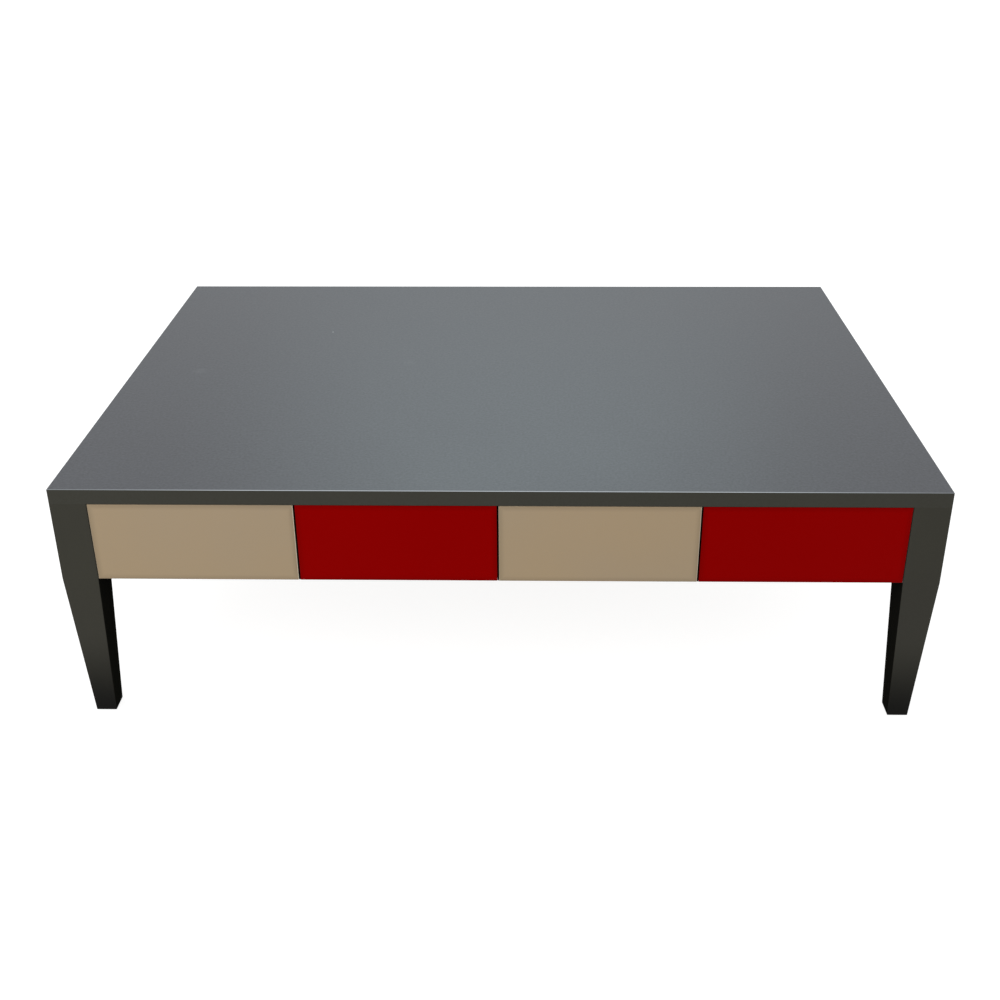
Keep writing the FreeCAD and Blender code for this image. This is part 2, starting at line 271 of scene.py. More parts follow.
@dataclass(frozen=True)
class DyedBoard:
    """Fibreboard dyed black right through, cut and left bare: matt, with short pale fibres."""

    name: str = "black_dyed_fibreboard"
    colour: str = "#161616"
    fibre_colour: str = "#2a2927"
    fibre_mm: float = 3.0
    fibre_range: tuple[float, float] = (0.45, 0.75)
    fibre_depth_mm: float = 0.03
    roughness: float = 0.85
    gloss: float = 0.25

    def material(self) -> Material:
        """Builds the finish's material.

        Returns:
            The material.
        """
        recipe = Recipe(self.name, {"Roughness": self.roughness, "Specular IOR Level": self.gloss})
        fibres = recipe.add("ShaderNodeTexNoise", inputs={
            "Vector": recipe.place, "Scale": per_metre(self.fibre_mm), "Detail": 4.0, "Distortion": 1.5,
        })
        share = recipe.add("ShaderNodeMapRange", inputs={
            "Value": fibres.outputs[0], "From Min": self.fibre_range[0], "From Max": self.fibre_range[1],
        })
        colour = recipe.add("ShaderNodeMix", {"data_type": "RGBA"}, {
            Mix.FACTOR: share.outputs[0],
            Mix.COLOUR_A: linear(self.colour), Mix.COLOUR_B: linear(self.fibre_colour),
        })
        bump = recipe.add("ShaderNodeBump", inputs={
            "Distance": self.fibre_depth_mm * MM, "Height": fibres.outputs[0],
        })
        return recipe.feed({"Base Color": colour.outputs[MIXED_COLOUR], "Normal": bump.outputs[0]})


@dataclass(frozen=True)
class Plywood:
    """Birch plywood under a thin oil: pale faces with long fine grain, and striped edges.

    The eye gets straw-coloured grain lines along the board and, on its cut edges, plies that are light
    and dark by turns.
    """

    thickness_axis: Axis
    grain_axis: Axis
    face_place: float
    colour: str = "#d9bf97"
    grain_colour: str = "#c09d6c"
    edge_colour: str = "#8f6d45"
    # A ply is a ninth of a board of 12 mm, and a light and a dark one make a pair.
    ply_mm: float = 12.0 / 9
    light_share: float = 0.5
    grain_mm: float = 2.0
    grain_stretch: float = 40.0
    grain_range: tuple[float, float] = (0.35, 0.65)
    grain_depth_mm: float = 0.02
    figure_mm: float = 26.0
    figure_share: float = 0.5
    # A surface is a face, not an edge, where this part of its normal lies along the thickness.
    face_normal: float = 0.7
    roughness: float = 0.5

    def material(self) -> Material:
        """Builds the finish's material.

        Returns:
            The material.
        """
        name = f"birch_plywood_{self.thickness_axis.name.lower()}"
        recipe = Recipe(name, {"Roughness": self.roughness})
        stretch = [1.0, 1.0, 1.0]
        stretch[self.grain_axis.value] = 1.0 / self.grain_stretch
        along = recipe.add("ShaderNodeMapping", inputs={"Vector": recipe.place, "Scale": stretch})
        lines = recipe.add("ShaderNodeTexNoise", inputs={
            "Vector": along.outputs[0], "Scale": per_metre(self.grain_mm), "Detail": 3.0,
        })
        figure = recipe.add("ShaderNodeTexNoise", inputs={
            "Vector": along.outputs[0], "Scale": per_metre(self.figure_mm), "Detail": 2.0,
            "Distortion": 0.6,
        })
        mixed = recipe.add("ShaderNodeMix", inputs={
            Mix.FACTOR: self.figure_share, Mix.NUMBER_A: lines.outputs[0], Mix.NUMBER_B: figure.outputs[0],
        })
        share = recipe.add("ShaderNodeMapRange", inputs={
            "Value": mixed.outputs[0], "From Min": self.grain_range[0], "From Max": self.grain_range[1],
        })
        face = recipe.add("ShaderNodeMix", {"data_type": "RGBA"}, {
            Mix.FACTOR: share.outputs[0],
            Mix.COLOUR_A: linear(self.colour), Mix.COLOUR_B: linear(self.grain_colour),
        })
        edge = recipe.add("ShaderNodeMix", {"data_type": "RGBA"}, {
            Mix.FACTOR: self.dark_plies(recipe),
            Mix.COLOUR_A: face.outputs[MIXED_COLOUR], Mix.COLOUR_B: linear(self.edge_colour),
        })
        normals = recipe.add("ShaderNodeSeparateXYZ", inputs={0: recipe.normal})
        facing = recipe.add("ShaderNodeMath", {"operation": "ABSOLUTE"}, {
            0: normals.outputs[self.thickness_axis.name],
        })
        is_face = recipe.add("ShaderNodeMath", {"operation": "GREATER_THAN"}, {
            0: facing.outputs[0], 1: self.face_normal,
        })
        colour = recipe.add("ShaderNodeMix", {"data_type": "RGBA"}, {
            Mix.FACTOR: is_face.outputs[0],
            Mix.COLOUR_A: edge.outputs[MIXED_COLOUR], Mix.COLOUR_B: face.outputs[MIXED_COLOUR],
        })
        bump = recipe.add("ShaderNodeBump", inputs={
            "Distance": self.grain_depth_mm * MM, "Height": lines.outputs[0],
        })
        return recipe.feed({"Base Color": colour.outputs[MIXED_COLOUR], "Normal": bump.outputs[0]})

    def dark_plies(self, recipe: Recipe) -> NodeSocket:
        """Adds the stripes: the depth under the board's face, counted in pairs of plies.

        Args:
            recipe: the material that is being built.

        Returns:
            A socket that is 1 in the second ply of each pair and 0 in the first.
        """
        places = recipe.add("ShaderNodeSeparateXYZ", inputs={0: recipe.place})
        depth = recipe.add("ShaderNodeMath", {"operation": "SUBTRACT"}, {
            0: places.outputs[self.thickness_axis.name], 1: self.face_place,
        })
        pairs = recipe.add("ShaderNodeMath", {"operation": "MULTIPLY"}, {
            0: depth.outputs[0], 1: per_metre(2 * self.ply_mm),
        })
        turn = recipe.add("ShaderNodeMath", {"operation": "FRACT"}, {0: pairs.outputs[0]})
        dark = recipe.add("ShaderNodeMath", {"operation": "GREATER_THAN"}, {
            0: turn.outputs[0], 1: self.light_share,
        })
        return dark.outputs[0]


@dataclass(frozen=True)
class PlatedSteel:
    """Zinc-plated steel, rolled and pressed: a cool grey metal with fine lines along the strip."""

    name: str
    colour: str = "#c3c6c9"
    dull_colour: str = "#9b9ea2"
    roughness: float = 0.32
    roughness_drift: float = 0.08
    # Real lines are finer, and are drawn as coarse as they need to show.
    line_mm: float = 0.9
    line_stretch: float = 60.0

    def material(self) -> Material:
        """Builds the finish's material.

        Returns:
            The material.
        """
        recipe = Recipe(self.name, {"Metallic": 1.0})
        along = recipe.add("ShaderNodeMapping", inputs={
            "Vector": recipe.place, "Scale": (1.0, 1.0 / self.line_stretch, 1.0),
        })
        lines = recipe.add("ShaderNodeTexNoise", inputs={
            "Vector": along.outputs[0], "Scale": per_metre(self.line_mm), "Detail": 2.0,
        })
        colour = recipe.add("ShaderNodeMix", {"data_type": "RGBA"}, {
            Mix.FACTOR: lines.outputs[0],
            Mix.COLOUR_A: linear(self.colour), Mix.COLOUR_B: linear(self.dull_colour),
        })
        roughness = recipe.add("ShaderNodeMapRange", inputs={
            "Value": lines.outputs[0],
            "To Min": self.roughness - self.roughness_drift,
            "To Max": self.roughness + self.roughness_drift,
        })
        return recipe.feed({
            "Base Color": colour.outputs[MIXED_COLOUR], "Roughness": roughness.outputs[0],
        })


@dataclass(frozen=True)
class Beech:
    """Turned beech: a warm pale wood with short dark flecks."""

    name: str = "turned_beech"
    colour: str = "#cfa77a"
    fleck_colour: str = "#a97c4f"
    fleck_mm: float = 2.5
    roughness: float = 0.6

    def material(self) -> Material:
        """Builds the finish's material.

        Returns:
            The material.
        """
        recipe = Recipe(self.name, {"Roughness": self.roughness})
        flecks = recipe.add("ShaderNodeTexNoise", inputs={
            "Vector": recipe.place, "Scale": per_metre(self.fleck_mm), "Detail": 2.0,
        })
        colour = recipe.add("ShaderNodeMix", {"data_type": "RGBA"}, {
            Mix.FACTOR: flecks.outputs[0],
            Mix.COLOUR_A: linear(self.colour), Mix.COLOUR_B: linear(self.fleck_colour),
        })
        return recipe.feed({"Base Color": colour.outputs[MIXED_COLOUR]})


@dataclass(frozen=True)
class Nylon:
    """Moulded black nylon: a soft sheen over a fine moulded grain."""

    name: str = "moulded_nylon"
    colour: str = "#19191a"
    worn_colour: str = "#2c2c2e"
    # Real moulded grain is finer, and is drawn as coarse as it needs to show.
    grain_mm: float = 1.2
    grain_depth_mm: float = 0.02
    roughness: float = 0.5
    ior: float = 1.53

    def material(self) -> Material:
        """Builds the finish's material.

        Returns:
            The material.
        """
        recipe = Recipe(self.name, {"Roughness": self.roughness, "IOR": self.ior})
        grain = recipe.add("ShaderNodeTexNoise", inputs={
            "Vector": recipe.place, "Scale": per_metre(self.grain_mm), "Detail": 2.0,
        })
        colour = recipe.add("ShaderNodeMix", {"data_type": "RGBA"}, {
            Mix.FACTOR: grain.outputs[0],
            Mix.COLOUR_A: linear(self.colour), Mix.COLOUR_B: linear(self.worn_colour),
        })
        bump = recipe.add("ShaderNodeBump", inputs={
            "Distance": self.grain_depth_mm * MM, "Height": grain.outputs[0],
        })
        return recipe.feed({"Base Color": colour.outputs[MIXED_COLOUR], "Normal": bump.outputs[0]})


@dataclass(frozen=True)
class Mark:
    """A small mark in the top's lacquer: its place, its radius and how far it hides the film."""

    x_mm: float
    y_mm: float
    radius_mm: float
    share: float


@dataclass(frozen=True)
class TopLacquer(Lacquer):
    """The lacquer of the top, with a speck of dust and two scuffs in it.

    The upper face is cool and glossy and the edges warm and dull: painted light, set by which way a face
    looks.
    """

    height: float = 0.0
    face_tint: str = WHITE
    face_gloss: float = 0.35
    # The colour painted on the edges for the warm light from the front.
    edge_colour: str = "#3d3c34"
    warm_light_share: float = 0.85
    # The upward part of the normal where the upper face ends, and where the edge is all there is.
    edge_range: tuple[float, float] = (0.9, 0.5)
    arris_lean_deg: float = 32.0
    # How nearly the normal has the arris's lean where the painted highlight begins, and where it is full.
    arris_range: tuple[float, float] = (0.86, 0.93)
    # The distances from the table's middle between which the painted highlight on the arris falls off.
    highlight_ends_mm: tuple[float, float] = (330.0, 560.0)
    corner_highlight: float = 0.4
    mark_colour: str = "#c9cdd0"
    marks: tuple[Mark, ...] = (
        Mark(-301.0, 163.0, 1.6, 1.0),
        Mark(-155.0, 29.0, 14.0, 0.016),
        Mark(-492.0, -8.0, 16.0, 0.027),
    )

    def tone(self, recipe: Recipe, colour: NodeSocket) -> NodeSocket:
        """Paints the edges warm and the upper face cool by which way they face, as painted light, and adds
        the marks.

        Args:
            recipe: the material that is being built.
            colour: the film's colour.

        Returns:
            The colour with the edges and the marks.
        """
        normals = recipe.add("ShaderNodeSeparateXYZ", inputs={0: recipe.normal})
        edge = recipe.add("ShaderNodeMapRange", inputs={
            "Value": normals.outputs["Z"], "From Min": self.edge_range[0], "From Max": self.edge_range[1],
        })
        tint = recipe.add("ShaderNodeMix", {"data_type": "RGBA"}, {
            Mix.FACTOR: edge.outputs[0],
            Mix.COLOUR_A: linear(self.face_tint), Mix.COLOUR_B: linear(self.specular_tint),
        })
        gloss = recipe.add("ShaderNodeMapRange", inputs={
            "Value": edge.outputs[0], "To Min": self.face_gloss, "To Max": self.gloss,
        })
        recipe.feed({
            "Specular Tint": tint.outputs[MIXED_COLOUR], "Specular IOR Level": gloss.outputs[0],
        })
        # Painted light: faces that look forward or sideways get the warm colour of a front light.
        warm_light_share = recipe.add("ShaderNodeMapRange", inputs={
            "Value": edge.outputs[0], "To Max": self.warm_light_share,
        })
        warm_lit = recipe.add("ShaderNodeMix", {"data_type": "RGBA"}, {
            Mix.FACTOR: warm_light_share.outputs[0],
            Mix.COLOUR_A: colour, Mix.COLOUR_B: linear(self.edge_colour),
        })
        return self.add_marks(recipe, warm_lit.outputs[MIXED_COLOUR])

    def add_marks(self, recipe: Recipe, colour: NodeSocket) -> NodeSocket:
        """Adds the marks, each a round spot that fades with the distance from its place.

        Args:
            recipe: the material that is being built.
            colour: the colour under the marks.

        Returns:
            The colour with the marks.
        """
        for mark in self.marks:
            distance = recipe.add("ShaderNodeVectorMath", {"operation": "DISTANCE"}, {
                0: recipe.place, 1: (mark.x_mm * MM, mark.y_mm * MM, self.height),
            })
            share = recipe.add("ShaderNodeMapRange", {"interpolation_type": "SMOOTHSTEP"}, {
                "Value": distance.outputs["Value"], "From Min": mark.radius_mm * MM, "From Max": 0.0,
                "To Max": mark.share,
            })
            marked = recipe.add("ShaderNodeMix", {"data_type": "RGBA"}, {
                Mix.FACTOR: share.outputs[0],
                Mix.COLOUR_A: colour, Mix.COLOUR_B: linear(self.mark_colour),
            })
            colour = marked.outputs[MIXED_COLOUR]
        return colour

    def arris_highlight_mask(self, recipe: Recipe) -> NodeSocket:
        """Keeps the painted highlight to the upper half of the front arris, brightest in the middle of the
        front.

        Args:
            recipe: the material that is being built.

        Returns:
            A socket that has the finish's share in the arris's middle, less at its ends, and 0 elsewhere.
        """
        lean = math.radians(self.arris_lean_deg)
        forward = recipe.add("ShaderNodeVectorMath", {"operation": "DOT_PRODUCT"}, {
            0: recipe.normal, 1: (0.0, -math.sin(lean), math.cos(lean)),
        })
        mask = recipe.add("ShaderNodeMapRange", inputs={
            "Value": forward.outputs["Value"],
            "From Min": self.arris_range[0], "From Max": self.arris_range[1],
            "To Max": self.arris_highlight_share,
        })
        places = recipe.add("ShaderNodeSeparateXYZ", inputs={0: recipe.place})
        across = recipe.add("ShaderNodeMath", {"operation": "ABSOLUTE"}, {0: places.outputs["X"]})
        highlight_falloff = recipe.add("ShaderNodeMapRange", inputs={
            "Value": across.outputs[0],
            "From Min": self.highlight_ends_mm[0] * MM, "From Max": self.highlight_ends_mm[1] * MM,
            "To Min": 1.0, "To Max": self.corner_highlight,
        })
        fading_highlight = recipe.add("ShaderNodeMath", {"operation": "MULTIPLY"}, {
            0: mask.outputs[0], 1: highlight_falloff.outputs[0],
        })
        return fading_highlight.outputs[0]


@dataclass(frozen=True)
class FrontLacquer(Lacquer):
    """The lacquer of a drawer front, with painted light on it.

    Painted shade darkens the rim of the face and the lower arris, and a painted highlight lies on the
    upright arrises.
    """

    low: tuple[float, float, float] = (0.0, 0.0, 0.0)
    high: tuple[float, float, float] = (0.0, 0.0, 0.0)
    rim_shade_mm: float = 9.0
    rim_shade_share: float = 0.82
    lower_arris_shade_share: float = 0.3
    # The upward part of the normal at which the painted shade on the lower arris is darkest, and where it
    # ends.
    lower_arris_shade_range: tuple[float, float] = (-0.6, -0.1)
    # The smaller level part of the normal where an upright arris's painted highlight begins, and where it is
    # full.
    arris_range: tuple[float, float] = (0.2, 0.6)
    left_highlight_share: float = 0.25
    # The sideways part of the normal over which the left-hand share gives way to the full one.
    side_range: tuple[float, float] = (-0.1, 0.1)

    def tone(self, recipe: Recipe, colour: NodeSocket) -> NodeSocket:
        """Paints shade on the rim of the face, by the distance from its nearest edge, and on the lower
        arris.

        Args:
            recipe: the material that is being built.
            colour: the film's colour.

        Returns:
            The darkened colour.
        """
        from_low = recipe.add("ShaderNodeVectorMath", {"operation": "SUBTRACT"}, {
            0: recipe.place, 1: self.low,
        })
        from_high = recipe.add("ShaderNodeVectorMath", {"operation": "SUBTRACT"}, {
            0: self.high, 1: recipe.place,
        })
        nearer = recipe.add("ShaderNodeVectorMath", {"operation": "MINIMUM"}, {
            0: from_low.outputs[0], 1: from_high.outputs[0],
        })
        parts = recipe.add("ShaderNodeSeparateXYZ", inputs={0: nearer.outputs[0]})
        inset = recipe.add("ShaderNodeMath", {"operation": "MINIMUM"}, {
            0: parts.outputs["X"], 1: parts.outputs["Z"],
        })
        # Painted shade: the face darkens towards its edges.
        rim_shade = recipe.add("ShaderNodeMapRange", {"interpolation_type": "SMOOTHSTEP"}, {
            "Value": inset.outputs[0], "From Max": self.rim_shade_mm * MM, "To Min": self.rim_shade_share,
        })
        normals = recipe.add("ShaderNodeSeparateXYZ", inputs={0: recipe.normal})
        # Painted shade: the downward-facing lower arris is darker.
        lower_arris_shade = recipe.add("ShaderNodeMapRange", inputs={
            "Value": normals.outputs["Z"], "From Min": self.lower_arris_shade_range[0], "From Max": self.lower_arris_shade_range[1],
            "To Min": self.lower_arris_shade_share,
        })
        share = recipe.add("ShaderNodeMath", {"operation": "MULTIPLY"}, {
            0: rim_shade.outputs[0], 1: lower_arris_shade.outputs[0],
        })
        darkened = recipe.add("ShaderNodeVectorMath", {"operation": "SCALE"}, {
            0: colour, "Scale": share.outputs[0],
        })
        return darkened.outputs[0]

    def arris_highlight_mask(self, recipe: Recipe) -> NodeSocket:
        """Adds a mask of the upright edges, where the normal lies between X and Y, for their painted
        highlight.

        Args:
            recipe: the material that is being built.

        Returns:
            A socket that has the finish's share on the right-hand edges, less on the left-hand ones, and
            0 elsewhere.
        """
        sizes = recipe.add("ShaderNodeVectorMath", {"operation": "ABSOLUTE"}, {0: recipe.normal})
        parts = recipe.add("ShaderNodeSeparateXYZ", inputs={0: sizes.outputs[0]})
        least = recipe.add("ShaderNodeMath", {"operation": "MINIMUM"}, {
            0: parts.outputs["X"], 1: parts.outputs["Y"],
        })
        mask = recipe.add("ShaderNodeMapRange", inputs={
            "Value": least.outputs[0], "From Min": self.arris_range[0], "From Max": self.arris_range[1],
            "To Max": self.arris_highlight_share,
        })
        normals = recipe.add("ShaderNodeSeparateXYZ", inputs={0: recipe.normal})
        side = recipe.add("ShaderNodeMapRange", inputs={
            "Value": normals.outputs["X"], "From Min": self.side_range[0], "From Max": self.side_range[1],
            "To Min": self.left_highlight_share,
        })
        sided = recipe.add("ShaderNodeMath", {"operation": "MULTIPLY"}, {
            0: mask.outputs[0], 1: side.outputs[0],
        })
        return sided.outputs[0]


@dataclass(frozen=True)
class LegLacquer(Lacquer):
    """The lacquer of the legs, with painted shade: darker towards the foot, and dark and matt on the inner
    faces.
    """

    foot_shade_mm: float = 150.0
    foot_shade_share: float = 0.07
    inner_shade_colour: str = "#181815"
    inner_height: float = 0.0
    # A face is an inner one where its normal points towards the table's middle by more than this.
    inner_normal: float = -0.7

    def tone(self, recipe: Recipe, colour: NodeSocket) -> NodeSocket:
        """Paints shade on the foot and on the inner faces, and takes the gloss off those faces.

        A face is an inner one if its normal points against its own place, towards the table's middle, and
        if it lies below the drawers.

        Args:
            recipe: the material that is being built.
            colour: the film's colour.

        Returns:
            The darkened colour.
        """
        places = recipe.add("ShaderNodeSeparateXYZ", inputs={0: recipe.place})
        # Painted shade: the film darkens towards the floor.
        foot_shade = recipe.add("ShaderNodeMapRange", {"interpolation_type": "SMOOTHSTEP"}, {
            "Value": places.outputs["Z"], "From Max": self.foot_shade_mm * MM, "To Min": self.foot_shade_share,
        })
        foot_shaded = recipe.add("ShaderNodeVectorMath", {"operation": "SCALE"}, {
            0: colour, "Scale": foot_shade.outputs[0],
        })
        outward = recipe.add("ShaderNodeVectorMath", {"operation": "SIGN"}, {0: recipe.place})
        turned = recipe.add("ShaderNodeVectorMath", {"operation": "MULTIPLY"}, {
            0: recipe.normal, 1: outward.outputs[0],
        })
        parts = recipe.add("ShaderNodeSeparateXYZ", inputs={0: turned.outputs[0]})
        least = recipe.add("ShaderNodeMath", {"operation": "MINIMUM"}, {
            0: parts.outputs["X"], 1: parts.outputs["Y"],
        })
        inward = recipe.add("ShaderNodeMath", {"operation": "LESS_THAN"}, {
            0: least.outputs[0], 1: self.inner_normal,
        })
        below = recipe.add("ShaderNodeMath", {"operation": "LESS_THAN"}, {
            0: places.outputs["Z"], 1: self.inner_height,
        })
        inner = recipe.add("ShaderNodeMath", {"operation": "MULTIPLY"}, {
            0: inward.outputs[0], 1: below.outputs[0],
        })
        gloss = recipe.add("ShaderNodeMapRange", inputs={
            "Value": inner.outputs[0], "To Min": self.gloss, "To Max": 0.0,
        })
        recipe.feed({"Specular IOR Level": gloss.outputs[0]})
        # Painted shade: the inner faces below the drawers get a near-black colour and no gloss.
        toned = recipe.add("ShaderNodeMix", {"data_type": "RGBA"}, {
            Mix.FACTOR: inner.outputs[0],
            Mix.COLOUR_A: foot_shaded.outputs[0], Mix.COLOUR_B: linear(self.inner_shade_colour),
        })
        return toned.outputs[MIXED_COLOUR]


ANTHRACITE = {"roughness": 0.42, "specular_tint": "#404040", "gloss": 0.15}
# The legs' and aprons' arris colour is a faint painted highlight.
WARM_FILM = {
    "colour": "#393833", "drift_colour": "#3c3b34", "arris_highlight_colour": "#45443f", "arris_highlight_share": 0.2,
}
# The top's grain and orange peel are drawn coarser and deeper than real ones, which would be too fine
# to show.
# The top's arris colour is a bright painted highlight along its front edge.
TOP = TopLacquer(
    name="anthracite_lacquer_top", colour="#393a3f", drift_colour="#46484d", arris_highlight_colour="#d4dce4",
    arris_highlight_share=0.58, grain_mm=3.5, grain_share=0.75, peel_mm=5.0, peel_depth_mm=0.15, **ANTHRACITE,
)
LEGS = LegLacquer(name="anthracite_lacquer_legs", **WARM_FILM, **ANTHRACITE)
APRONS = Lacquer(name="anthracite_lacquer_aprons", **WARM_FILM, **ANTHRACITE)
# The fronts' arris colours are painted highlights.
CREAM = FrontLacquer(
    name="cream_satin_lacquer", colour="#a08f78", drift_colour="#a49074", arris_highlight_colour="#f0e6d0",
    arris_highlight_share=0.9, roughness=0.45, specular_tint="#7f7663", gloss=0.3,
)
RED = FrontLacquer(
    name="red_satin_lacquer", colour="#850000", drift_colour="#890000", arris_highlight_colour="#a00808",
    arris_highlight_share=0.4, roughness=0.45, specular_tint="#a00000", gloss=0.12,
)
# Black strips that stand in the gaps between the fronts as painted shade.
GAP_SHADE_STRIP = DyedBoard(name="black_gap_shade_strip", colour="#050505", fibre_colour="#0c0c0b", gloss=0.0)


@dataclass
class Dresser:
    """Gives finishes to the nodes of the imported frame."""

    nodes: dict[str, Object]

    def dress(self, material: Material, *names: str) -> None:
        """Puts a material on nodes.

        Args:
            material: the finish.
            names: the nodes that get it.
        """
        for name in names:
            for slot in self.nodes[name].material_slots:
                slot.material = material
            log.info("%s: %s", name, material.name)


@dataclass
class LacqueredFrame:
    """The top, the four legs and the three aprons."""

    top: str = "top_panel"
    legs: tuple[str, ...] = ("leg_front_left", "leg_front_right", "leg_back_left", "leg_back_right")
    aprons: tuple[str, ...] = ("side_apron_left", "side_apron_right", "back_apron")

    def dress(self, dresser: Dresser) -> None:
        """Puts the grey lacquer on the frame, in the kind that each piece shows.

        Args:
            dresser: the nodes.
        """
        top = replace(TOP, height=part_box(self.top)[1].z)
        legs = replace(LEGS, inner_height=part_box("drawer_1_front")[0].z)
        dresser.dress(top.material(), self.top)
        dresser.dress(legs.material(), *self.legs)
        dresser.dress(APRONS.material(), *self.aprons)


@dataclass
class GapShadeStrip:
    """A thin black strip let into a divider's front edge, which fills the gap between two fronts with
    painted shade.
    """

    number: int
    clearance_mm: float = 0.2
    setback_mm: float = 1.2
    nose_steps: int = 12

    def build(self, material: Material) -> Object:
        """Builds the strip: a bar with a half-round nose, carried straight up from the fronts' lower edge.

        In plan the nose is a half circle about the gap's middle line, from the left face round to the
        right one, and two straight faces run back from it to the divider.

        Args:
            material: the strip's finish.

        Returns:
            The strip's object.
        """
        left_low, left_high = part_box(f"drawer_{self.number}_front")
        right_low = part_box(f"drawer_{self.number + 1}_front")[0]
        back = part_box(f"divider_{self.number}")[0].y
        middle = (left_high.x + right_low.x) / 2
        radius = (right_low.x - left_high.x) / 2 - self.clearance_mm * MM
        nose = left_low.y + self.setback_mm * MM + radius
        angle = np.linspace(math.pi, 2 * math.pi, self.nose_steps + 1)
        x = np.concatenate([middle + radius * np.cos(angle), [middle + radius, middle - radius]])
        y = np.concatenate([nose + radius * np.sin(angle), [back, back]])
        return carry_up(f"gap_shade_strip_{self.number}", x, y, left_low.z, left_high.z, material)


def carry_up(
    name: str, x: np.ndarray, y: np.ndarray, low: float, high: float, material: Material
) -> Object:
    """Makes a closed bar by carrying an outline straight up.

    The outline runs anticlockwise seen from above. Each of its points has one copy at the lower level and
    one at the upper, a quad joins each pair of neighbours, and two flat caps close the ends.

    Args:
        name: the piece's name.
        x: the outline's places along X.
        y: the outline's places along Y.
        low: the lower level.
        high: the upper level.
        material: the piece's finish.

    Returns:
        The new object.
    """
    count = len(x)
    lower = np.column_stack([x, y, np.full(count, low)])
    upper = np.column_stack([x, y, np.full(count, high)])
    start = np.arange(count)
    after = np.roll(start, -1)
    sides = np.column_stack([start, after, after + count, start + count])
    caps = [start[::-1].tolist(), (start + count).tolist()]
    mesh = bpy.data.meshes.new(name)
    mesh.from_pydata(np.concatenate([lower, upper]).tolist(), [], sides.tolist() + caps)
    mesh.materials.append(material)
    piece = bpy.data.objects.new(name, mesh)
    bpy.context.scene.collection.objects.link(piece)
    return piece


@dataclass
class DrawerCase:
    """The panels between the drawers, the rails that tie them, and the frame's fasteners."""

    sides: tuple[str, ...] = ("case_side_left", "case_side_right")
    dividers: tuple[str, ...] = ("divider_1", "divider_2", "divider_3")
    ties: tuple[str, ...] = ("tie_rail_front", "tie_rail_back")

    def dress(self, dresser: Dresser, screw_steel: Material) -> None:
        """Puts bare board, wood, steel and nylon on the case, and black strips that paint the gaps' shade on
        its dividers.

        Args:
            dresser: the nodes.
            screw_steel: the screws' finish.
        """
        # The case boards are black board, whose colour also paints the shade seen in the gaps between the
        # fronts.
        dresser.dress(DyedBoard().material(), *self.sides, *self.dividers, *self.ties)
        black = GAP_SHADE_STRIP.material()
        for number in range(1, len(self.dividers) + 1):
            strip = GapShadeStrip(number).build(black)
            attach(strip, "table")
            log.info("%s: %s", strip.name, black.name)
        dresser.dress(Beech().material(), "frame_dowels", "case_dowels")
        dresser.dress(screw_steel, "case_screws", "slide_screws")
        dresser.dress(Nylon().material(), "leg_glides")


@dataclass
class DrawerFinishes:
    """The finishes that all the drawers share."""

    sides: Material
    ends: Material
    bottom: Material
    slides: Material
    screws: Material

    @classmethod
    def with_screws(cls, screw_steel: Material) -> "DrawerFinishes":
        """Builds the finishes, with the plies counted from the faces of the first drawer's boards.

        Args:
            screw_steel: the screws' finish.

        Returns:
            The finishes.
        """
        side_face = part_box("drawer_1_side_left")[0].x
        end_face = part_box("drawer_1_box_front")[0].y
        bottom_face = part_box("drawer_1_bottom")[0].z
        return cls(
            sides=Plywood(Axis.X, Axis.Y, side_face).material(),
            ends=Plywood(Axis.Y, Axis.X, end_face).material(),
            bottom=Plywood(Axis.Z, Axis.Y, bottom_face).material(),
            slides=PlatedSteel("zinc_plated_slides").material(),
            screws=screw_steel,
        )


@dataclass
class Drawer:
    """One drawer: its lacquered front, its plywood box, its slides and its screws."""

    number: int
    front: FrontLacquer
    shared: DrawerFinishes

    def dress(self, dresser: Dresser) -> None:
        """Puts the finishes on the drawer's nodes.

        Args:
            dresser: the nodes.
        """
        name = f"drawer_{self.number}"
        low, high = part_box(f"{name}_front")
        lacquer = replace(
            self.front, name=f"{self.front.name}_{self.number}", low=tuple(low), high=tuple(high)
        )
        dresser.dress(lacquer.material(), f"{name}_front")
        dresser.dress(self.shared.sides, f"{name}_side_left", f"{name}_side_right")
        dresser.dress(self.shared.ends, f"{name}_box_front", f"{name}_box_back")
        dresser.dress(self.shared.bottom, f"{name}_bottom")
        dresser.dress(self.shared.slides, f"{name}_slide_outer", f"{name}_slide_inner", f"{name}_ball_cages")
        dresser.dress(self.shared.screws, f"{name}_screws")


@dataclass(frozen=True)
class Softbox:
    """A square-edged soft lamp, given by the brightness of its face, where 1 is a white wall."""

    name: str
    place: tuple[float, float, float]
    aim: tuple[float, float, float]
    width: float
    height: float
    brightness: float
    colour: str = WHITE
    # The power that a lamp needs for each square metre of a face with a brightness of 1.
    power_per_area: float = 4.0

    def build(self) -> None:
        """Adds the lamp, turned to its aim, with the power that its area and its brightness need."""
        lamp = bpy.data.lights.new(self.name, "AREA")
        lamp.shape = "RECTANGLE"
        lamp.size = self.width
        lamp.size_y = self.height
        lamp.energy = self.power_per_area * self.width * self.height * self.brightness
        lamp.color = linear(self.colour)[:3]
        holder = bpy.data.objects.new(self.name, lamp)
        holder.visible_camera = False
        holder.location = self.place
        towards = Vector(self.aim) - Vector(self.place)
        holder.rotation_euler = towards.to_track_quat("-Z", "Y").to_euler()
        bpy.context.scene.collection.objects.link(holder)
        log.info("lamp: %s", self.name)


